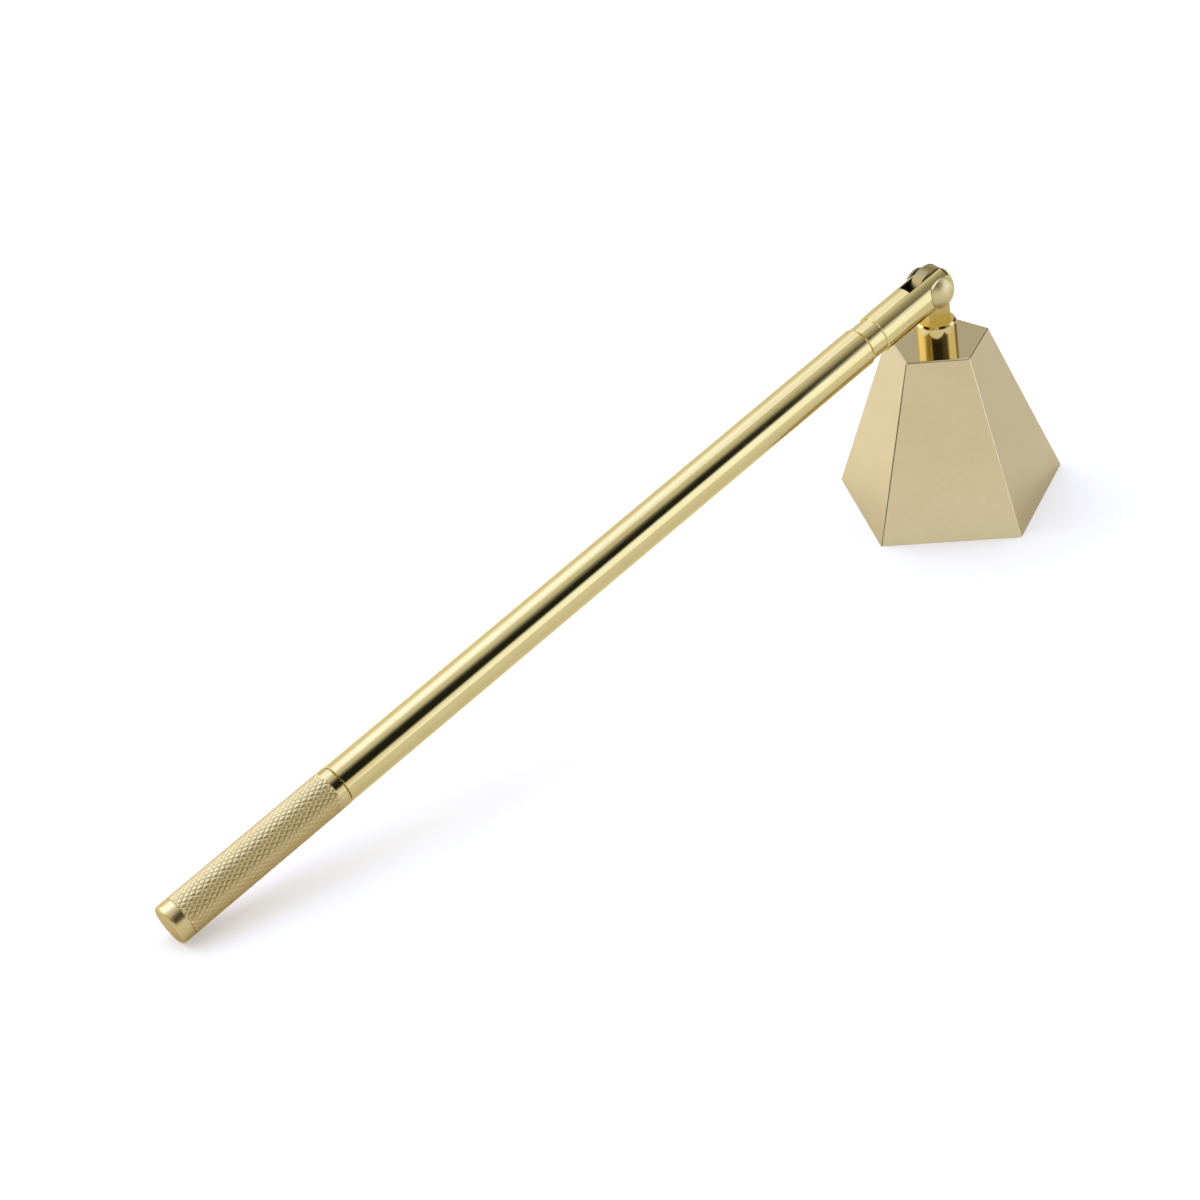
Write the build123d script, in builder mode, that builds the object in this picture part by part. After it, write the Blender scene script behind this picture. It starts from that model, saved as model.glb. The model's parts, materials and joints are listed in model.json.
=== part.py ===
from build123d import *
from math import asin, atan2, cos, degrees, hypot, pi, radians, sin
import os

# Candle snuffer: a five-sided bell on a hinged handle with a knurled grip.
# Millimetres, +Z up. The origin is the middle of the footprint, at the level of the table.
# The handle runs towards -X and the hinge turns about Y.

# Bell, whose nearest corner lies a few degrees off the handle's direction
bell_sides = 5
bell_turn = 10.26
bell_height = 35.3
bell_rim_radius = 23.6
bell_top_radius = 10.5
bell_wall = 1.2
bell_edge_round = 0.4

# Neck and its tongue
neck_radius = 4.0
neck_rise = 4.7
neck_chamfer = 0.4
tongue_thickness = 2.54
tongue_half_width = 2.8
tongue_radius = 4.4

# Hinge
pivot_rise = 11.9
pivot_setback = 0.8
fork_radius = 4.0
fork_nose_radius = 4.7
fork_length = 15.7
fork_edge = 0.2
slot_depth = 5.9
washer_thickness = 0.15
washer_radius = 3.3
washer_gap = 0.02
barrel_radius = 2.0
barrel_wall = 0.75
barrel_end_gap = 0.2
pin_clearance = 0.04
head_radius = 3.1
head_seat = 3.1
head_edge = 0.5
head_rise = 2.0
head_clearance = 0.12
driver_slot_width = 0.8
driver_slot_depth = 0.8
pivot_screw_length = 4.2
pivot_screw_end_gap = 0.3

# Handle
thread_radius = 2.0
thread_clearance = 0.03
spigot_engagement = 8.0
collar_length = 3.9
collar_radius = 3.7
collar_chamfer = 0.4
collar_clearance = 0.05
tube_length = 134.2
tube_radius = 4.0
tube_wall = 0.8
tube_edge = 0.15
insert_length = 12.0
insert_clearance = 0.02
insert_edge = 0.3
grip_length = 39.6
grip_radius = 4.05
grip_front_edge = 0.3
grip_end_round = 0.8
stud_engagement = 7.5
stud_edge = 0.4
stud_end_gap = 1.0

# Screw inside the bell
screw_hole_clearance = 0.2
screw_engagement = 3.9
screw_end_gap = 0.5
screw_head_radius = 4.0
screw_head_height = 2.6
screw_head_round = 1.2
recess_length = 4.2
recess_width = 0.9
recess_depth = 1.4
bell_washer_radius = 4.5
bell_washer_thickness = 0.8
bell_washer_clearance = 0.15
lock_washer_radius = 3.8
lock_washer_thickness = 0.9
lock_washer_clearance = 0.1
lock_washer_split = 0.7

# How far a cut runs past the surface it opens
overrun = 1.0

# Heights on the bell and neck
bell_ceiling = bell_height - bell_wall
neck_top = bell_height + neck_rise
pivot_height = bell_height + pivot_rise

# Distances along the handle, from the pivot towards the grip
tube_start = fork_length + collar_length
grip_start = tube_start + tube_length
grip_end = grip_start + grip_length

# Width of the slot, which holds the tongue and a washer on each side
slot_width = tongue_thickness + 2 * (washer_thickness + 2 * washer_gap)

# The handle slopes down until the round of the grip's end touches the table.
reach = hypot(grip_end - grip_end_round, grip_radius - grip_end_round)
drop = pivot_height - grip_end_round
slope = asin(drop / reach) - atan2(grip_radius - grip_end_round, grip_end - grip_end_round)

# How far the footprint reaches from the bell's axis: to the grip's end, and to the rounded rim corners
grip_reach = (
    pivot_setback
    + (grip_end - grip_end_round) * cos(slope)
    + (grip_radius - grip_end_round) * sin(slope)
    + grip_end_round
)
corner_angles = [radians(180 + bell_turn + 360 * corner / bell_sides) for corner in range(bell_sides)]
corner_centre_radius = bell_rim_radius - bell_edge_round / cos(pi / bell_sides)
rim_front = corner_centre_radius * max(cos(angle) for angle in corner_angles) + bell_edge_round
rim_far = corner_centre_radius * max(sin(angle) for angle in corner_angles) + bell_edge_round
rim_near = corner_centre_radius * max(-sin(angle) for angle in corner_angles) + bell_edge_round

# The bell's axis, placed so that the origin is the middle of the footprint
bell_x = (grip_reach - rim_front) / 2
bell_y = (rim_near - rim_far) / 2
bell_axis = Axis((bell_x, bell_y, 0), (0, 0, 1))
bell_base = Plane(origin=(bell_x, bell_y, 0))
# Side view of the bell: x runs to the front, y up, and the normal is -Y.
bell_side = Plane(origin=(bell_x, bell_y, 0), x_dir=(1, 0, 0), z_dir=(0, -1, 0))

pivot = Vector(bell_x - pivot_setback, bell_y, pivot_height)
to_grip = Vector(-cos(slope), 0, -sin(slope))
handle_up = Vector(-sin(slope), 0, cos(slope))
handle_axis = Axis(pivot, to_grip)
pivot_axis = Axis(pivot, Vector(0, 1, 0))

# Side view of the handle: x runs to the grip, y up, and the normal is +Y.
side_plane = Plane(origin=pivot, x_dir=to_grip, z_dir=(0, 1, 0))
# Sections through the pivot's axis: y runs out to the near side (-Y) or to the far side (+Y).
near_plane = Plane(origin=pivot, x_dir=to_grip, z_dir=handle_up)
far_plane = Plane(origin=pivot, x_dir=to_grip, z_dir=-handle_up)

os.makedirs("parts", exist_ok=True)


def save(builder, name):
    """Labels a finished piece and writes it."""
    builder.part.label = name
    export_step(builder.part, f"parts/{name}.step")


def pentagon(radius):
    """Draws the bell's outline at one level."""
    RegularPolygon(radius=radius, side_count=bell_sides, rotation=180 + bell_turn)


def half_section(*points):
    """Draws a closed outline from its corners."""
    Polygon(*points, align=None)


# Bell shell: a hollow five-sided frustum, open at the rim
wall_tilt = atan2((bell_rim_radius - bell_top_radius) * cos(pi / bell_sides), bell_height)
corner_inset = bell_wall / cos(wall_tilt) / cos(pi / bell_sides)
ceiling_radius = bell_top_radius + (bell_rim_radius - bell_top_radius) * bell_wall / bell_height

with BuildPart() as bell_shell:
    with BuildSketch(bell_base):
        pentagon(bell_rim_radius)
    with BuildSketch(bell_base.offset(bell_height)):
        pentagon(bell_top_radius)
    loft()
    edge_levels = bell_shell.edges().group_by(Axis.Z)
    fillet(edge_levels[1] + edge_levels[-1], bell_edge_round)
    with BuildSketch(bell_base):
        pentagon(bell_rim_radius - corner_inset)
    with BuildSketch(bell_base.offset(bell_ceiling)):
        pentagon(ceiling_radius - corner_inset)
    loft(mode=Mode.SUBTRACT)
    with BuildSketch(bell_base.offset(bell_ceiling)):
        Circle(thread_radius + screw_hole_clearance)
    extrude(amount=bell_wall, mode=Mode.SUBTRACT)
save(bell_shell, "bell_shell")


# Neck post: turned post, with a flat tongue that ends in a round eye about the pivot
with BuildPart() as neck_post:
    with BuildSketch(bell_side):
        half_section(
            (0, bell_height),
            (neck_radius, bell_height),
            (neck_radius, neck_top - neck_chamfer),
            (neck_radius - neck_chamfer, neck_top),
            (0, neck_top),
        )
    revolve(axis=bell_axis)
    with BuildSketch(bell_side):
        with Locations((0, neck_top)):
            Rectangle(2 * tongue_half_width, pivot_height - neck_top, align=(Align.CENTER, Align.MIN))
        with Locations((-pivot_setback, pivot_height)):
            Circle(tongue_radius)
    extrude(amount=tongue_thickness / 2, both=True)
    with BuildSketch(side_plane):
        Circle(barrel_radius + pin_clearance)
    extrude(amount=neck_radius, both=True, mode=Mode.SUBTRACT)
    with BuildSketch(bell_base.offset(bell_height)):
        Circle(thread_radius + thread_clearance)
    extrude(amount=screw_engagement + screw_end_gap, mode=Mode.SUBTRACT)
save(neck_post, "neck_post")


# Fork: round bar with a ball nose, a slot for the tongue and a threaded spigot
nose_angle = degrees(asin(fork_radius / fork_nose_radius))

with BuildPart() as fork:
    with BuildSketch(side_plane):
        with BuildLine():
            nose = CenterArc((0, 0), fork_nose_radius, 180, -nose_angle)
            Polyline(
                nose @ 1,
                (fork_length - fork_edge, fork_radius),
                (fork_length, fork_radius - fork_edge),
                (fork_length, thread_radius),
                (tube_start + spigot_engagement, thread_radius),
                (tube_start + spigot_engagement, 0),
                nose @ 0,
            )
        make_face()
    revolve(axis=handle_axis)
    with BuildSketch(side_plane):
        with Locations((slot_depth, 0)):
            Rectangle(
                slot_depth + fork_nose_radius + overrun,
                2 * (fork_radius + overrun),
                align=(Align.MAX, Align.CENTER),
            )
    extrude(amount=slot_width / 2, both=True, mode=Mode.SUBTRACT)
    for side in (1, -1):
        with BuildSketch(side_plane.offset(side * head_seat)):
            Circle(head_radius + head_clearance)
            Rectangle(fork_nose_radius, 2 * (head_radius + head_clearance), align=(Align.MAX, Align.CENTER))
        extrude(amount=side * fork_radius, mode=Mode.SUBTRACT)
    with BuildSketch(side_plane):
        Circle(barrel_radius + pin_clearance)
    extrude(amount=fork_radius, both=True, mode=Mode.SUBTRACT)
save(fork, "fork")


# Domed head: half of its section, from the seat outwards
head_edge_level = head_seat + head_edge
head_crown_level = head_seat + head_rise
head_crown = head_rise - head_edge
dome_radius = (head_radius**2 + head_crown**2) / (2 * head_crown)

with BuildSketch() as domed_head:
    with BuildLine():
        Polyline((0, head_crown_level), (0, head_seat), (head_radius, head_seat), (head_radius, head_edge_level))
        RadiusArc((head_radius, head_edge_level), (0, head_crown_level), -dome_radius)
    make_face()


# Pivot barrel: smooth domed head on the near side, on a threaded sleeve through the hinge
with BuildPart() as pivot_barrel:
    with BuildSketch(near_plane):
        add(domed_head.sketch)
    revolve(axis=pivot_axis)
    with BuildSketch(side_plane.offset(-head_seat)):
        Circle(barrel_radius)
    extrude(amount=2 * head_seat - barrel_end_gap)
    with BuildSketch(side_plane.offset(head_seat)):
        Circle(barrel_radius - barrel_wall)
    extrude(amount=-pivot_screw_length - pivot_screw_end_gap, mode=Mode.SUBTRACT)
save(pivot_barrel, "pivot_barrel")


# Pivot screw: slotted domed head on the far side, screwed into the barrel
with BuildPart() as pivot_screw:
    with BuildSketch(far_plane):
        add(domed_head.sketch)
    revolve(axis=pivot_axis)
    with BuildSketch(side_plane.offset(head_seat)):
        Circle(barrel_radius - barrel_wall - thread_clearance)
    extrude(amount=-pivot_screw_length)
    with BuildSketch(side_plane.offset(head_seat + head_rise)):
        Rectangle(driver_slot_width, 2 * head_radius + overrun)
    extrude(amount=-driver_slot_depth, mode=Mode.SUBTRACT)
save(pivot_screw, "pivot_screw")


# Friction washers: thin rings between the tongue and the fork's arms
washer_level = tongue_thickness / 2 + washer_gap

for washer_name, side in (("friction_washer_far", 1), ("friction_washer_near", -1)):
    with BuildPart() as friction_washer:
        with BuildSketch(side_plane.offset(side * washer_level)):
            Circle(washer_radius)
            Circle(barrel_radius + pin_clearance, mode=Mode.SUBTRACT)
        extrude(amount=side * washer_thickness)
    save(friction_washer, washer_name)


# Collar: narrow ring between the fork's shoulder and the tube
with BuildPart() as collar:
    with BuildSketch(side_plane):
        half_section(
            (fork_length, thread_radius + collar_clearance),
            (fork_length, collar_radius),
            (tube_start - collar_chamfer, collar_radius),
            (tube_start, collar_radius - collar_chamfer),
            (tube_start, thread_radius + collar_clearance),
        )
    revolve(axis=handle_axis)
save(collar, "collar")


# Shaft tube: plain tube with lightly broken outer edges
tube_bore = tube_radius - tube_wall

with BuildPart() as shaft_tube:
    with BuildSketch(side_plane):
        half_section(
            (tube_start, tube_bore),
            (tube_start, tube_radius - tube_edge),
            (tube_start + tube_edge, tube_radius),
            (grip_start - tube_edge, tube_radius),
            (grip_start, tube_radius - tube_edge),
            (grip_start, tube_bore),
        )
    revolve(axis=handle_axis)
save(shaft_tube, "shaft_tube")


# Threaded inserts: one plug fixed in each end of the tube
for insert_name, insert_start in (
    ("front_insert", tube_start),
    ("rear_insert", grip_start - insert_length),
):
    insert_stop = insert_start + insert_length
    with BuildPart() as insert:
        with BuildSketch(side_plane):
            half_section(
                (insert_start, thread_radius + thread_clearance),
                (insert_start, tube_bore - insert_clearance - insert_edge),
                (insert_start + insert_edge, tube_bore - insert_clearance),
                (insert_stop - insert_edge, tube_bore - insert_clearance),
                (insert_stop, tube_bore - insert_clearance - insert_edge),
                (insert_stop, thread_radius + thread_clearance),
            )
        revolve(axis=handle_axis)
    save(insert, insert_name)


# Grip stud: headless stud, half in the rear insert and half in the grip
with BuildPart() as grip_stud:
    with BuildSketch(side_plane):
        half_section(
            (grip_start - stud_engagement, 0),
            (grip_start - stud_engagement, thread_radius - stud_edge),
            (grip_start - stud_engagement + stud_edge, thread_radius),
            (grip_start + stud_engagement - stud_edge, thread_radius),
            (grip_start + stud_engagement, thread_radius - stud_edge),
            (grip_start + stud_engagement, 0),
        )
    revolve(axis=handle_axis)
save(grip_stud, "grip_stud")


# Grip: solid bar with a blind threaded hole in front and a rounded end
grip_hole_end = grip_start + stud_engagement + stud_end_gap

with BuildPart() as grip:
    with BuildSketch(side_plane):
        with BuildLine():
            Polyline(
                (grip_hole_end, 0),
                (grip_hole_end, thread_radius + thread_clearance),
                (grip_start, thread_radius + thread_clearance),
                (grip_start, grip_radius - grip_front_edge),
                (grip_start + grip_front_edge, grip_radius),
                (grip_end - grip_end_round, grip_radius),
            )
            RadiusArc(
                (grip_end - grip_end_round, grip_radius),
                (grip_end, grip_radius - grip_end_round),
                grip_end_round,
            )
            Polyline((grip_end, grip_radius - grip_end_round), (grip_end, 0), (grip_hole_end, 0))
        make_face()
    revolve(axis=handle_axis)
save(grip, "grip")


# Washers under the bell's screw, hanging from the bell's ceiling
lock_washer_top = bell_ceiling - bell_washer_thickness
head_top = lock_washer_top - lock_washer_thickness

with BuildPart() as bell_washer:
    with BuildSketch(bell_base.offset(lock_washer_top)):
        Circle(bell_washer_radius)
        Circle(thread_radius + bell_washer_clearance, mode=Mode.SUBTRACT)
    extrude(amount=bell_washer_thickness)
save(bell_washer, "bell_washer")

with BuildPart() as lock_washer:
    with BuildSketch(bell_base.offset(head_top)):
        Circle(lock_washer_radius)
        Circle(thread_radius + lock_washer_clearance, mode=Mode.SUBTRACT)
        Rectangle(lock_washer_radius, lock_washer_split, align=(Align.MIN, Align.CENTER), mode=Mode.SUBTRACT)
    extrude(amount=lock_washer_thickness)
save(lock_washer, "lock_washer")


# Bell screw: pan head with a cross recess, below the washers
with BuildPart() as bell_screw:
    with BuildSketch(bell_base.offset(head_top)):
        Circle(screw_head_radius)
    extrude(amount=-screw_head_height)
    fillet(bell_screw.edges().sort_by(Axis.Z)[0], screw_head_round)
    with BuildSketch(bell_base.offset(head_top)):
        Circle(thread_radius)
    extrude(amount=bell_height + screw_engagement - head_top)
    with BuildSketch(bell_base.offset(head_top - screw_head_height)):
        Rectangle(recess_length, recess_width)
        Rectangle(recess_width, recess_length)
    extrude(amount=recess_depth, mode=Mode.SUBTRACT)
save(bell_screw, "bell_screw")
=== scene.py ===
import json
from math import cos, pi, radians, sin

import bpy
from mathutils import Matrix, Vector


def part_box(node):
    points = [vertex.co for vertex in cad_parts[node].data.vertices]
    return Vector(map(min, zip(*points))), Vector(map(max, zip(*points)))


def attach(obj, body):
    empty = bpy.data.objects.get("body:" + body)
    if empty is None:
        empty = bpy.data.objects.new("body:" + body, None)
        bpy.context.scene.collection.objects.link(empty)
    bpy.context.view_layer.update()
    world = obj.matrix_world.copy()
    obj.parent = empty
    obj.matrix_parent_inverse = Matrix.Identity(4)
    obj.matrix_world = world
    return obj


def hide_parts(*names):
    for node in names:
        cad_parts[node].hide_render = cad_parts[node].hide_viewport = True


# Candle snuffer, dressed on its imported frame. Metres, +Z up, in the frame's own place.
MM = 0.001
X_AXIS = Vector((1, 0, 0))
Y_AXIS = Vector((0, 1, 0))
Z_AXIS = Vector((0, 0, 1))

# Camera, measured from the photo
CAMERA_PLACE = Vector((-277.994, -409.380, 346.445)) * MM
CAMERA_AZIMUTH = radians(-33.68)
CAMERA_ELEVATION = radians(33.49)
CAMERA_ROLL = radians(9.262)
SENSOR_WIDTH = 36.0
LENS = 95.12
CLIP_START = 0.01

# Knurling on the grip: its rows, the depth of its grooves, and each pyramid's broken edge and flat crest.
# The two shares are the sizes of that edge and that crest beside the pyramid's foot.
KNURL_STARTS = 24
KNURL_STEPS = 2 * KNURL_STARTS
KNURL_STEP_ANGLE = 2 * pi / KNURL_STEPS
KNURL_ROW = 0.87 * MM
KNURL_DEPTH = 0.09 * MM
KNURL_EDGE_DROP = 0.02 * MM
KNURL_EDGE_SHARE = 0.52
KNURL_CREST_SHARE = 0.36

# Turned ends of the grip
SMOOTH_FRONT = 2.0 * MM
SMOOTH_END = 2.8 * MM
UNDERCUT = 0.15 * MM
FRONT_EDGE = 0.3 * MM
END_ROUND = 0.8 * MM
END_ROUND_STEPS = 8
HOLE_RADIUS = 2.03 * MM
HOLE_DEPTH = 8.5 * MM
HOLE_FLOOR_SHARE = 0.2
SMOOTH_ANGLE = radians(22)

# Values that the grip's mesh gives its material. The crest value is highest on the flat crests and the plain
# bands. The grooves' painted shade and roughness start below a pyramid's edge and are full low on its flank.
CREST_TOP = 1.0
CREST_EDGE = 0.9
CREST_FLANK = 0.1
CREST_GROOVE = 0.0
FRONT_BAND_POLISH = 1.0
END_BAND_POLISH = 0.5

# Hinge, where its finishes change
SLOT_HALF_WIDTH = 1.46 * MM
SLOT_DEPTH = 5.9 * MM
NECK_TOP = 40.0 * MM
EYE_BOTTOM = 43.5 * MM
EYE_BLEND = 4.0 * MM
FINISH_MARGIN = 0.04 * MM

# All metals: tint at grazing angles, slow clouding of colour and gloss, and the strength of the grain
EDGE_TINT = (0.95, 0.88, 0.68)
CLOUD_SCALE = 90.0
CLOUD_DETAIL = 4.0
CLOUD_ROUGHNESS = 0.6
CLOUD_RANGE = (0.3, 0.7)
GRAIN_DETAIL = 2.0
GRAIN_ROUGHNESS = 0.5
GRAIN_SHARE = 0.5
GRAIN_STRENGTH = 0.25

# Finishes laid over the fork's metal in its slot, and over the neck's on the tongue and the tongue's eye. Their
# colours are painted shade between the fork's arms; their gloss is dull, as milled.
SLOT_SHADE_COLOUR = (0.10, 0.065, 0.03)
SLOT_ROUGHNESS = 0.45
TONGUE_SHADE_COLOUR = (0.52, 0.385, 0.13)
TONGUE_ROUGHNESS = 0.30
EYE_SHADE_COLOUR = (0.28, 0.22, 0.095)
EYE_ROUGHNESS = 0.34

# Grip's finishes. Painted shade makes it browner below the first height over its axis, and fully so below the
# second.
KNURL_EDGE_TINT = (0.80, 0.68, 0.45)
KNURL_ROUGHNESS = 0.42
UNDERSIDE_SHADE_COLOUR = (0.54, 0.41, 0.175)
UNDERSIDE_SHADE_HEIGHTS = (4.0 * MM, 3.0 * MM)
MOTTLE_COLOUR = (0.32, 0.25, 0.11)
MOTTLE_SCALE = 800.0
MOTTLE_DETAIL = 3.0
MOTTLE_ROUGHNESS = 0.6
MOTTLE_RANGE = (0.50, 0.72)
MOTTLE_SHARE = 0.22
GROOVE_SHADE_COLOUR = (0.44, 0.345, 0.16)
GROOVE_ROUGHNESS = 0.42
GROOVE_SHADE_SHARE = 0.4
BAND_COLOUR = (0.60, 0.50, 0.235)
BAND_ROUGHNESS = 0.12

# Floor. Its glow is the light that the camera sees on it, evenly, and the light that it throws into the metal,
# where it is painted light and a painted shadow that only reflections show.
FLOOR_SIZE = 6.0
FLOOR_COLOUR = (0.95, 0.935, 0.905)
FLOOR_GLOW = 0.22
PAINTED_GLOW_NEAR = 0.06
PAINTED_GLOW_BY_WINDOW = 0.62
PAINTED_GLOW_BEHIND = 0.27
WINDOW_AZIMUTH = radians(25)

# Where that painted light and the painted shadow patch start and are full, in metres from the middle of the part
WINDOW_RANGE = (0.10, 0.60)
BEHIND_RANGE = (-0.02, 0.05)
PAINTED_SHADOW_RIGHT_RANGE = (0.115, 0.15)
PAINTED_SHADOW_BACK_RANGE = (-0.20, -0.08)

# Studio: a white room with soft zones, each laid over the ones before it. Each has, in degrees, its middle
# azimuth, its half width and soft edge, its lowest elevation and soft edge, and its highest elevation and
# soft edge. Its radiance comes last. Azimuth 0 is towards -Y and 90 towards +X.
ROOM = 1.0
ZONES = {
    "grey ceiling": (0, 180, 1, 80, 25, 90, 1, (0.84, 0.86, 0.88)),
    "rear window": (172, 45, 20, 44, 22, 66, 24, (1.60, 1.78, 2.65)),
    "right end of the rear window": (138, 10, 16, 44, 22, 60, 24, (1.30, 1.35, 1.60)),
    "rear left window": (-148, 18, 22, 22, 10, 40, 14, (2.20, 2.30, 2.60)),
    "rear right wall": (132, 14, 16, 16, 10, 38, 14, (0.70, 0.70, 0.70)),
    "right screen": (98, 10, 12, 2, 6, 26, 10, (0.10, 0.10, 0.10)),
    "wall over the window": (38, 16, 12, 48, 14, 56, 30, (0.40, 0.40, 0.40)),
    "front window": (40, 23, 8, -2, 4, 27, 7, (1.47, 1.62, 2.10)),
    "haze over the camera": (-46, 16, 12, 34, 5, 52, 16, (0.30, 0.30, 0.28)),
    "screen over the window": (2, 18, 9, 35, 15, 48, 38, (0.02, 0.02, 0.02)),
    "left end of the screen": (-4, 12, 10, 35, 16, 56, 34, (0.02, 0.02, 0.02)),
    "right half of the window": (50, 24, 6, 0, 5, 34, 6, (1.47, 1.62, 2.10)),
    "warm wall on the left": (-92, 10, 10, 26, 8, 42, 14, (0.72, 0.56, 0.30)),
    "camera side screen": (-46, 24, 12, 26, 5, 33, 6, (0.02, 0.02, 0.02)),
    "low left screen": (-100, 24, 12, -5, 1, 6, 5, (0.05, 0.05, 0.05)),
}

# Sockets of Blender's Mix node that share their names with others, by number
COLOUR_FIRST = 6
COLOUR_SECOND = 7
COLOUR_RESULT = 2
VALUE_FIRST = 2
VALUE_SECOND = 3
VALUE_RESULT = 0

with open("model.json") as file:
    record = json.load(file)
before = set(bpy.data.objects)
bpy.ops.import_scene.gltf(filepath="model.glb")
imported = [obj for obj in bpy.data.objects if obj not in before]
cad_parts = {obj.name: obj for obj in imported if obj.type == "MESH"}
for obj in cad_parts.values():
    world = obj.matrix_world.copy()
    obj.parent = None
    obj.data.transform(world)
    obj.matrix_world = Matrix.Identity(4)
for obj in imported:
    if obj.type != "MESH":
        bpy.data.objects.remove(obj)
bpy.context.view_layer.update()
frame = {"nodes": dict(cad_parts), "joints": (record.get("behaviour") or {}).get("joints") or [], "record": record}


# Handle's own directions: its axis runs from the pivot through the middle of the tube.
pivot = Vector(frame["joints"][0]["pos_m"])
tube_low, tube_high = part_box("shaft_tube")
to_grip = ((tube_low + tube_high) / 2 - pivot).normalized()
handle_side = Y_AXIS
handle_up = handle_side.cross(to_grip)


def along_handle(node):
    """Nearest and farthest distance of a CAD node from the pivot, along the handle."""
    distances = [(v.co - pivot).dot(to_grip) for v in frame["nodes"][node].data.vertices]
    return min(distances), max(distances)


def handle_radius(node):
    """Largest distance of a CAD node from the handle's axis."""
    return max((v.co - pivot).cross(to_grip).length for v in frame["nodes"][node].data.vertices)


def on_handle(distance, radius, angle):
    """Point at a distance along the handle, at a radius and an angle round its axis."""
    return pivot + to_grip * distance + (handle_side * cos(angle) - handle_up * sin(angle)) * radius


# Shader helpers
def add_node(tree, kind, settings=None, sockets=None):
    """Adds a node, sets its properties, and sets or links its sockets by name or number."""
    node = tree.nodes.new(kind)
    for name, value in (settings or {}).items():
        setattr(node, name, value)
    for name, value in (sockets or {}).items():
        if isinstance(value, bpy.types.NodeSocket):
            tree.links.new(value, node.inputs[name])
        else:
            node.inputs[name].default_value = value
    return node


def maths(tree, operation, first, second=0.0, third=0.0):
    sockets = {0: first, 1: second, 2: third}
    return add_node(tree, "ShaderNodeMath", {"operation": operation}, sockets).outputs[0]


def ramp(tree, value, low, high, out_low=0.0, out_high=1.0):
    """Smooth step of a value from low to high."""
    settings = {"interpolation_type": "SMOOTHSTEP"}
    sockets = {"Value": value, "From Min": low, "From Max": high, "To Min": out_low, "To Max": out_high}
    return add_node(tree, "ShaderNodeMapRange", settings, sockets).outputs[0]


def opaque(colour):
    """A colour with its alpha, or the socket that was given."""
    return colour if isinstance(colour, bpy.types.NodeSocket) else (*colour, 1.0)


def mix_colour(tree, share, first, second):
    sockets = {0: share, COLOUR_FIRST: opaque(first), COLOUR_SECOND: opaque(second)}
    return add_node(tree, "ShaderNodeMix", {"data_type": "RGBA"}, sockets).outputs[COLOUR_RESULT]


def mix_value(tree, share, first, second):
    sockets = {0: share, VALUE_FIRST: first, VALUE_SECOND: second}
    return add_node(tree, "ShaderNodeMix", {"data_type": "FLOAT"}, sockets).outputs[VALUE_RESULT]


def noise(tree, place, scale, detail, roughness):
    sockets = {"Vector": place, "Scale": scale, "Detail": detail, "Roughness": roughness}
    return add_node(tree, "ShaderNodeTexNoise", None, sockets).outputs["Fac"]


def attribute(tree, name):
    """One of the values that a mesh carries at its points."""
    return add_node(tree, "ShaderNodeAttribute", {"attribute_name": name}).outputs["Fac"]


def along_axis(tree, axis):
    """A surface point's coordinate along an axis, in the row frame."""
    place = add_node(tree, "ShaderNodeTexCoord").outputs["Object"]
    sockets = {0: place, 1: axis}
    return add_node(tree, "ShaderNodeVectorMath", {"operation": "DOT_PRODUCT"}, sockets).outputs["Value"]


def distance_from(tree, origin, axis):
    """How far a surface point lies from an origin, along an axis."""
    return maths(tree, "SUBTRACT", along_axis(tree, axis), origin.dot(axis))


def turned_place(tree, axes, stretch):
    """The row frame's coordinates, turned to the given axes and scaled along each of them."""
    parts = {number: along_axis(tree, axes[number] * stretch[number]) for number in range(3)}
    return add_node(tree, "ShaderNodeCombineXYZ", None, parts).outputs[0]


# Directions of the metals' grain. The grain is drawn out along the axes that have a small number.
HANDLE_AXES = (to_grip, handle_side, handle_up)
BELL_AXES = (X_AXIS, Y_AXIS, Z_AXIS)
EVEN = (1.0, 1.0, 1.0)
ROUND_HANDLE = (1.0, 0.04, 0.04)
ROUND_NECK = (0.04, 0.04, 1.0)
ALONG_PIN = (1.0, 0.05, 1.0)
UP_THE_BELL = (1.0, 1.0, 0.03)


# Metals
def metal(name, light, dark, smooth, rough, axes, stretch, grain_scale, grain_height):
    """Metal whose colour and gloss vary a little, with a fine grain that runs as the stretch says."""
    material = bpy.data.materials.new(name)
    material.use_nodes = True
    tree = material.node_tree
    shader = tree.nodes["Principled BSDF"]
    shader.inputs["Metallic"].default_value = 1.0
    shader.inputs["Specular Tint"].default_value = (*EDGE_TINT, 1.0)
    cloud = noise(tree, turned_place(tree, axes, EVEN), CLOUD_SCALE, CLOUD_DETAIL, CLOUD_ROUGHNESS)
    grain = noise(tree, turned_place(tree, axes, stretch), grain_scale, GRAIN_DETAIL, GRAIN_ROUGHNESS)
    colour = mix_colour(tree, ramp(tree, cloud, *CLOUD_RANGE), dark, light)
    tree.links.new(colour, shader.inputs["Base Color"])
    gloss = maths(tree, "MULTIPLY_ADD", grain, GRAIN_SHARE, maths(tree, "MULTIPLY", cloud, 1 - GRAIN_SHARE))
    tree.links.new(ramp(tree, gloss, *CLOUD_RANGE, smooth, rough), shader.inputs["Roughness"])
    sockets = {"Strength": GRAIN_STRENGTH, "Distance": grain_height, "Height": grain}
    bump = add_node(tree, "ShaderNodeBump", None, sockets)
    tree.links.new(bump.outputs["Normal"], shader.inputs["Normal"])
    return material


def lay_finish(tree, share, colour, roughness):
    """Lays a second colour and gloss over a metal, where the share is above zero."""
    shader = tree.nodes["Principled BSDF"]
    old_colour = shader.inputs["Base Color"].links[0].from_socket
    old_gloss = shader.inputs["Roughness"].links[0].from_socket
    tree.links.new(mix_colour(tree, share, old_colour, colour), shader.inputs["Base Color"])
    tree.links.new(mix_value(tree, share, old_gloss, roughness), shader.inputs["Roughness"])


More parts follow.
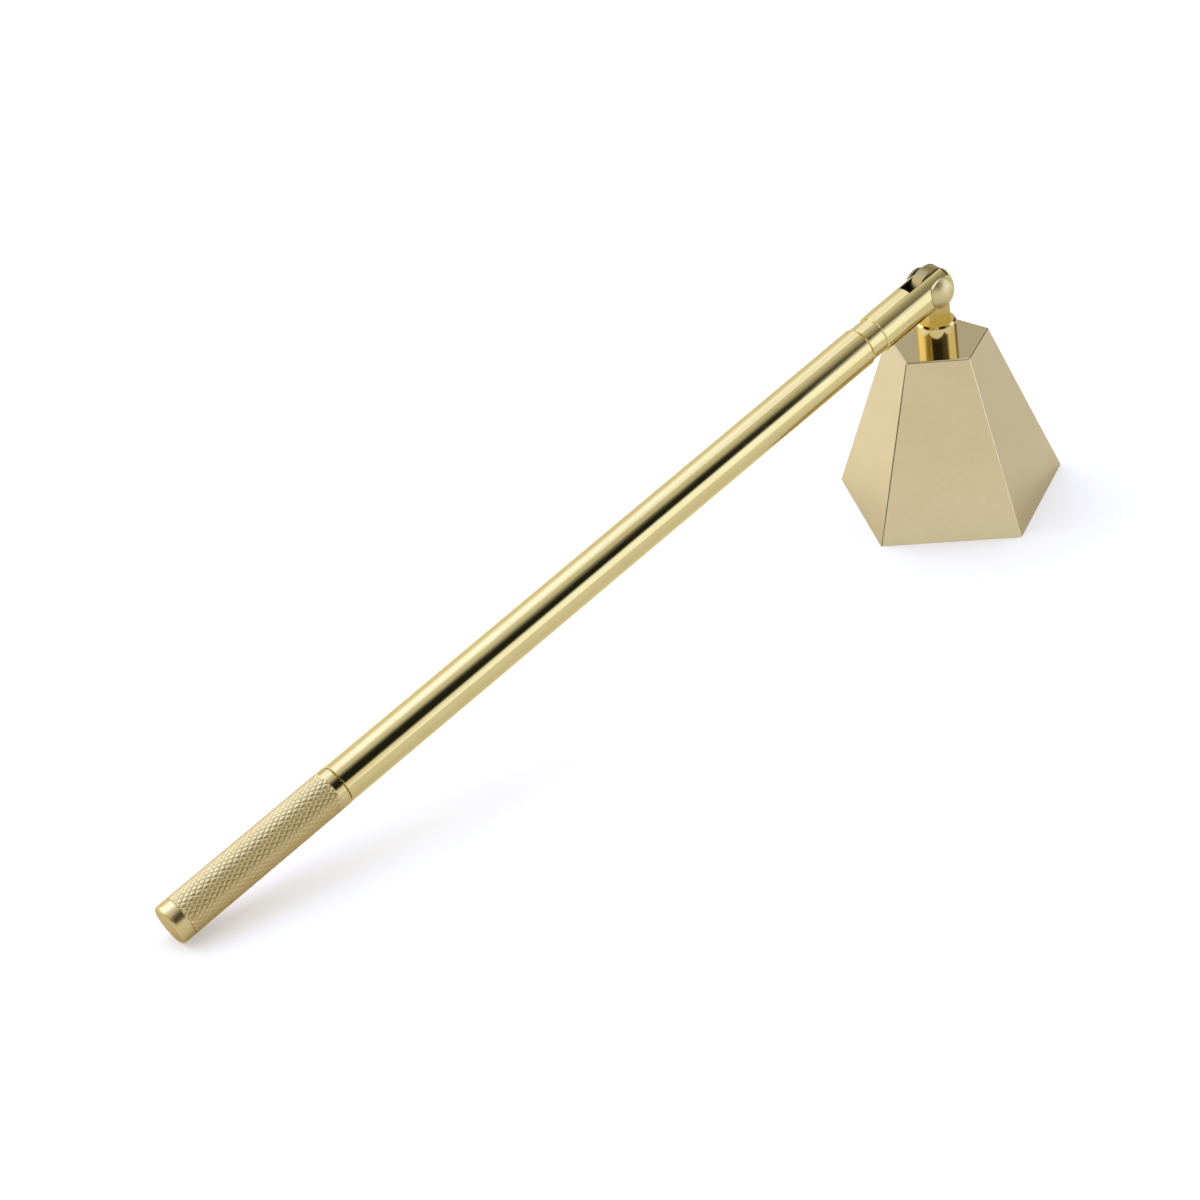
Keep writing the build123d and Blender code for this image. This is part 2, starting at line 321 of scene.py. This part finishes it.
def polished_brass():
    """Fork, collar and tube: polished, with the walls of the fork's slot dull, as milled, and dark with painted
    shade.
    """
    material = metal("polished_brass", light=(0.655, 0.545, 0.247), dark=(0.625, 0.515, 0.226),
                     smooth=0.05, rough=0.10, axes=HANDLE_AXES, stretch=ROUND_HANDLE,
                     grain_scale=9000.0, grain_height=0.002 * MM)
    tree = material.node_tree
    aside = maths(tree, "ABSOLUTE", distance_from(tree, pivot, handle_side))
    between = maths(tree, "LESS_THAN", aside, SLOT_HALF_WIDTH + FINISH_MARGIN)
    before_root = maths(tree, "LESS_THAN", distance_from(tree, pivot, to_grip), SLOT_DEPTH + FINISH_MARGIN)
    # Painted shade: the walls of the slot are coloured dark.
    lay_finish(tree, maths(tree, "MULTIPLY", between, before_root), SLOT_SHADE_COLOUR, SLOT_ROUGHNESS)
    return material


def neck_brass():
    """Neck post: polished, with the tongue above it dull, as milled. Painted shade makes the tongue darker and its
    eye dark brown.
    """
    material = metal("neck_brass", light=(0.67, 0.53, 0.215), dark=(0.64, 0.505, 0.20),
                     smooth=0.08, rough=0.13, axes=BELL_AXES, stretch=ROUND_NECK,
                     grain_scale=9000.0, grain_height=0.002 * MM)
    tree = material.node_tree
    height = along_axis(tree, Z_AXIS)
    above_neck = maths(tree, "GREATER_THAN", height, NECK_TOP + FINISH_MARGIN)
    # Painted shade on the tongue, which sits between the fork's arms.
    lay_finish(tree, above_neck, TONGUE_SHADE_COLOUR, TONGUE_ROUGHNESS)
    # Deeper painted shade on the tongue's eye.
    eye = ramp(tree, height, EYE_BOTTOM, EYE_BOTTOM + EYE_BLEND)
    lay_finish(tree, eye, EYE_SHADE_COLOUR, EYE_ROUGHNESS)
    return material


def satin_brass():
    """Near head of the pivot."""
    return metal("satin_brass", light=(0.63, 0.525, 0.27), dark=(0.57, 0.465, 0.225),
                 smooth=0.36, rough=0.44, axes=HANDLE_AXES, stretch=ALONG_PIN,
                 grain_scale=6000.0, grain_height=0.004 * MM)


def browned_brass():
    """Far head of the pivot."""
    return metal("browned_brass", light=(0.21, 0.165, 0.085), dark=(0.15, 0.115, 0.055),
                 smooth=0.26, rough=0.36, axes=HANDLE_AXES, stretch=ALONG_PIN,
                 grain_scale=6000.0, grain_height=0.006 * MM)


def bell_brass():
    return metal("bell_brass", light=(0.595, 0.500, 0.303), dark=(0.570, 0.478, 0.285),
                 smooth=0.08, rough=0.14, axes=BELL_AXES, stretch=UP_THE_BELL,
                 grain_scale=5000.0, grain_height=0.002 * MM)


def plain_brass():
    """Inserts in the tube."""
    return metal("plain_brass", light=(0.60, 0.49, 0.24), dark=(0.52, 0.42, 0.20),
                 smooth=0.25, rough=0.40, axes=HANDLE_AXES, stretch=ROUND_HANDLE,
                 grain_scale=6000.0, grain_height=0.01 * MM)


def spring_bronze():
    """Friction washers."""
    return metal("spring_bronze", light=(0.62, 0.40, 0.20), dark=(0.54, 0.34, 0.16),
                 smooth=0.22, rough=0.34, axes=BELL_AXES, stretch=ALONG_PIN,
                 grain_scale=5000.0, grain_height=0.005 * MM)


def plated_steel():
    """Screw and washers in the bell, and the grip's stud."""
    return metal("plated_steel", light=(0.58, 0.59, 0.60), dark=(0.50, 0.51, 0.53),
                 smooth=0.22, rough=0.36, axes=BELL_AXES, stretch=EVEN,
                 grain_scale=3000.0, grain_height=0.005 * MM)


def knurled_brass():
    """Grip: mottled, with painted shade that makes it browner away from the top and darker in the grooves,
    polished on the plain bands.
    """
    material = metal("knurled_brass", light=(0.74, 0.625, 0.34), dark=(0.68, 0.57, 0.30),
                     smooth=0.32, rough=KNURL_ROUGHNESS, axes=HANDLE_AXES, stretch=EVEN,
                     grain_scale=4000.0, grain_height=0.01 * MM)
    tree = material.node_tree
    tree.nodes["Principled BSDF"].inputs["Specular Tint"].default_value = (*KNURL_EDGE_TINT, 1.0)
    # Painted shade: browner everywhere below the top of the grip.
    painted_underside_shade = ramp(tree, distance_from(tree, pivot, handle_up), *UNDERSIDE_SHADE_HEIGHTS)
    lay_finish(tree, painted_underside_shade, UNDERSIDE_SHADE_COLOUR, KNURL_ROUGHNESS)
    place = turned_place(tree, HANDLE_AXES, EVEN)
    mottle = noise(tree, place, MOTTLE_SCALE, MOTTLE_DETAIL, MOTTLE_ROUGHNESS)
    mottle_share = ramp(tree, mottle, *MOTTLE_RANGE, 0.0, MOTTLE_SHARE)
    lay_finish(tree, mottle_share, MOTTLE_COLOUR, KNURL_ROUGHNESS)
    # Painted shade in the grooves of the knurling.
    groove = ramp(tree, attribute(tree, "crest"), CREST_EDGE, CREST_FLANK, 0.0, GROOVE_SHADE_SHARE)
    lay_finish(tree, groove, GROOVE_SHADE_COLOUR, GROOVE_ROUGHNESS)
    lay_finish(tree, attribute(tree, "band"), BAND_COLOUR, BAND_ROUGHNESS)
    return material


# The materials by slot, and each CAD node's own
makers = (polished_brass, neck_brass, satin_brass, browned_brass, bell_brass, plain_brass, spring_bronze,
          plated_steel, knurled_brass)
materials = {maker.__name__: maker() for maker in makers}
for entry in frame["record"]["subparts"]:
    packed = frame["nodes"][entry["node"]]
    packed.data.materials.clear()
    packed.data.materials.append(materials[entry["material_slot"]])


# Knurled grip, which stands for the plain CAD grip
class GripSurface:
    """The grip's points, with a crest value and a band value for each, and its faces."""

    def __init__(self):
        self.points = []
        self.crests = []
        self.bands = []
        self.faces = []

    def add(self, distance, radius, angle, crest=CREST_TOP, band=0.0):
        """Adds a point and returns its number."""
        self.points.append(on_handle(distance, radius, angle))
        self.crests.append(crest)
        self.bands.append(band)
        return len(self.points) - 1


def turned_rings(surface, profile, band):
    """Rings of points round the handle's axis, for each distance and radius of a profile."""
    angles = [KNURL_STEP_ANGLE * step for step in range(KNURL_STEPS)]
    return [[surface.add(distance, radius, angle, band=band) for angle in angles]
            for distance, radius in profile]


def join_rings(surface, rings):
    """Faces between each ring and the next."""
    for inner, outer in zip(rings, rings[1:]):
        for step in range(len(inner)):
            following = (step + 1) % len(inner)
            surface.faces.append((inner[step], inner[following], outer[following], outer[step]))


def add_front(surface, start, radius):
    """Blind hole for the stud, front face and smooth band. Returns the ring where the knurling starts."""
    hole_end = start + HOLE_DEPTH
    profile = [(hole_end, HOLE_FLOOR_SHARE * HOLE_RADIUS), (hole_end, HOLE_RADIUS), (start, HOLE_RADIUS),
               (start, radius - FRONT_EDGE), (start + FRONT_EDGE, radius), (start + SMOOTH_FRONT, radius),
               (start + SMOOTH_FRONT + UNDERCUT, radius - KNURL_DEPTH)]
    rings = turned_rings(surface, profile, FRONT_BAND_POLISH)
    surface.faces.append(tuple(reversed(rings[0])))
    join_rings(surface, rings)
    return rings[-1]


def add_end(surface, end, radius):
    """Smooth band and rounded end of the grip. Returns the ring where the knurling ends."""
    angles = [pi / 2 * step / END_ROUND_STEPS for step in range(END_ROUND_STEPS + 1)]
    end_round = [(end - END_ROUND * (1 - sin(angle)), radius - END_ROUND * (1 - cos(angle)))
                 for angle in angles]
    profile = [(end - SMOOTH_END - UNDERCUT, radius - KNURL_DEPTH), (end - SMOOTH_END, radius), *end_round]
    rings = turned_rings(surface, profile, END_BAND_POLISH)
    join_rings(surface, rings)
    surface.faces.append(tuple(rings[-1]))
    return rings[0]


def add_pyramid(surface, corners, middle, radius):
    """One pyramid of the knurling: flanks up from the groove bottoms, a broken edge and a flat crest."""
    low_ring = [number for number, place in corners]
    levels = ((KNURL_EDGE_SHARE, KNURL_EDGE_DROP, CREST_EDGE), (KNURL_CREST_SHARE, 0.0, CREST_TOP))
    for share, drop, crest in levels:
        high_ring = [surface.add(middle[0] + share * (distance - middle[0]), radius - drop,
                                 middle[1] + share * (angle - middle[1]), crest)
                     for number, (distance, angle) in corners]
        join_rings(surface, [low_ring, high_ring])
        low_ring = high_ring
    surface.faces.append(tuple(low_ring))


def add_knurling(surface, start, end, radius, front_seam, end_seam):
    """Pyramids between grooves, which cross at every second step round the axis, a step on in each row."""
    rows = round((end - start) / KNURL_ROW)
    row = (end - start) / rows

    def place(level, step):
        return start + level * row, step * KNURL_STEP_ANGLE

    crossings = {}
    for level in range(rows + 1):
        for step in range(level % 2, KNURL_STEPS, 2):
            if level == 0:
                number = front_seam[step]
            elif level == rows:
                number = end_seam[step]
            else:
                distance, angle = place(level, step)
                number = surface.add(distance, radius - KNURL_DEPTH, angle, CREST_GROOVE)
            crossings[level, step] = number

    def corner(level, step):
        return crossings[level, step % KNURL_STEPS], place(level, step)

    for level in range(rows + 1):
        for step in range((level + 1) % 2, KNURL_STEPS, 2):
            before = corner(level, step - 1)
            after = corner(level, step + 1)
            corners = [before]
            if level > 0:
                corners.append(corner(level - 1, step))
            corners.append(after)
            if level < rows:
                corners.append(corner(level + 1, step))
            add_pyramid(surface, corners, place(level, step), radius)
            # Half pyramids at the seams leave a sliver beside the smooth band, which a triangle closes.
            if level == 0:
                surface.faces.append((before[0], after[0], front_seam[step]))
            if level == rows:
                surface.faces.append((before[0], end_seam[step], after[0]))


def grip_mesh(surface):
    mesh = bpy.data.meshes.new("knurled_grip")
    mesh.from_pydata(surface.points, [], surface.faces)
    for name, values in (("crest", surface.crests), ("band", surface.bands)):
        mesh.attributes.new(name, "FLOAT", "POINT").data.foreach_set("value", values)
    mesh.shade_smooth()
    mesh.set_sharp_from_angle(angle=SMOOTH_ANGLE)
    mesh.materials.append(materials["knurled_brass"])
    mesh.validate()
    return mesh


def build_grip():
    start, end = along_handle("grip")
    knurl_start = start + SMOOTH_FRONT + UNDERCUT
    knurl_end = end - SMOOTH_END - UNDERCUT
    radius = handle_radius("grip")
    surface = GripSurface()
    front_seam = add_front(surface, start, radius)
    end_seam = add_end(surface, end, radius)
    add_knurling(surface, knurl_start, knurl_end, radius, front_seam, end_seam)
    grip = bpy.data.objects.new("knurled_grip", grip_mesh(surface))
    bpy.context.scene.collection.objects.link(grip)
    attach(grip, "handle")
    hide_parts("grip")


build_grip()


# Floor
def painted_floor_light(tree):
    """Painted floor light that only the metal mirrors: more by the window and behind the part, and a painted
    shadow beyond the bell.
    """
    middle = Vector((0, 0, 0))
    to_window = Vector((sin(WINDOW_AZIMUTH), -cos(WINDOW_AZIMUTH), 0))
    window_distance = distance_from(tree, middle, to_window)
    by_window = ramp(tree, window_distance, *WINDOW_RANGE, PAINTED_GLOW_NEAR, PAINTED_GLOW_BY_WINDOW)
    behind = ramp(tree, distance_from(tree, middle, Y_AXIS), *BEHIND_RANGE, 0.0, PAINTED_GLOW_BEHIND)
    painted_shadow_right = ramp(tree, distance_from(tree, middle, X_AXIS), *PAINTED_SHADOW_RIGHT_RANGE)
    not_in_front = ramp(tree, distance_from(tree, middle, Y_AXIS), *PAINTED_SHADOW_BACK_RANGE)
    outside_painted_shadow = maths(tree, "SUBTRACT", 1.0, maths(tree, "MULTIPLY", painted_shadow_right, not_in_front))
    return maths(tree, "MULTIPLY", maths(tree, "ADD", by_window, behind), outside_painted_shadow)


def floor_material():
    material = bpy.data.materials.new("floor")
    material.use_nodes = True
    tree = material.node_tree
    shader = tree.nodes["Principled BSDF"]
    shader.inputs["Base Color"].default_value = (*FLOOR_COLOUR, 1.0)
    shader.inputs["Roughness"].default_value = 1.0
    shader.inputs["Specular IOR Level"].default_value = 0.0
    shader.inputs["Emission Color"].default_value = (1.0, 1.0, 1.0, 1.0)
    path = add_node(tree, "ShaderNodeLightPath").outputs
    mirrored = maths(tree, "ADD", path["Is Glossy Ray"], path["Is Transmission Ray"])
    # Painted light and shadow on the floor, seen only in the metal's reflections.
    glow = maths(tree, "MULTIPLY", mirrored, painted_floor_light(tree))
    glow = maths(tree, "MULTIPLY_ADD", path["Is Camera Ray"], FLOOR_GLOW, glow)
    tree.links.new(glow, shader.inputs["Emission Strength"])
    return material


def build_floor():
    half = FLOOR_SIZE / 2
    corners = [(-half, -half, 0), (half, -half, 0), (half, half, 0), (-half, half, 0)]
    mesh = bpy.data.meshes.new("floor")
    mesh.from_pydata(corners, [], [(0, 1, 2, 3)])
    mesh.materials.append(floor_material())
    floor = bpy.data.objects.new("floor", mesh)
    bpy.context.scene.collection.objects.link(floor)


build_floor()


# Studio
def build_world():
    world = bpy.data.worlds.new("studio")
    bpy.context.scene.world = world
    world.use_nodes = True
    tree = world.node_tree
    direction = add_node(tree, "ShaderNodeTexCoord").outputs["Generated"]
    parts = add_node(tree, "ShaderNodeSeparateXYZ", None, {0: direction}).outputs
    azimuth = maths(tree, "ARCTAN2", parts["X"], maths(tree, "MULTIPLY", parts["Y"], -1.0))
    elevation = maths(tree, "ARCSINE", parts["Z"])
    colour = (ROOM, ROOM, ROOM)
    for middle, half_width, side_edge, low, low_edge, high, high_edge, radiance in ZONES.values():
        turn = maths(tree, "WRAP", maths(tree, "SUBTRACT", azimuth, radians(middle)), pi, -pi)
        aside = maths(tree, "ABSOLUTE", turn)
        within = ramp(tree, aside, radians(half_width), radians(half_width + side_edge), 1.0, 0.0)
        above_low = ramp(tree, elevation, radians(low - low_edge), radians(low))
        below_high = ramp(tree, elevation, radians(high), radians(high + high_edge), 1.0, 0.0)
        share = maths(tree, "MULTIPLY", within, maths(tree, "MULTIPLY", above_low, below_high))
        colour = mix_colour(tree, share, colour, radiance)
    tree.links.new(colour, tree.nodes["Background"].inputs["Color"])


build_world()


# Camera
def build_camera():
    level_back = X_AXIS * sin(CAMERA_AZIMUTH) - Y_AXIS * cos(CAMERA_AZIMUTH)
    back = level_back * cos(CAMERA_ELEVATION) + Z_AXIS * sin(CAMERA_ELEVATION)
    level_right = X_AXIS * cos(CAMERA_AZIMUTH) + Y_AXIS * sin(CAMERA_AZIMUTH)
    level_up = back.cross(level_right)
    right = level_right * cos(CAMERA_ROLL) - level_up * sin(CAMERA_ROLL)
    up = level_right * sin(CAMERA_ROLL) + level_up * cos(CAMERA_ROLL)
    data = bpy.data.cameras.new("camera")
    data.lens = LENS
    data.sensor_width = SENSOR_WIDTH
    data.clip_start = CLIP_START
    camera = bpy.data.objects.new("camera", data)
    bpy.context.scene.collection.objects.link(camera)
    turned = Matrix((right, up, back)).transposed()
    camera.matrix_world = Matrix.Translation(CAMERA_PLACE) @ turned.to_4x4()
    bpy.context.scene.camera = camera


build_camera()
bpy.context.scene.view_settings.view_transform = "Standard"
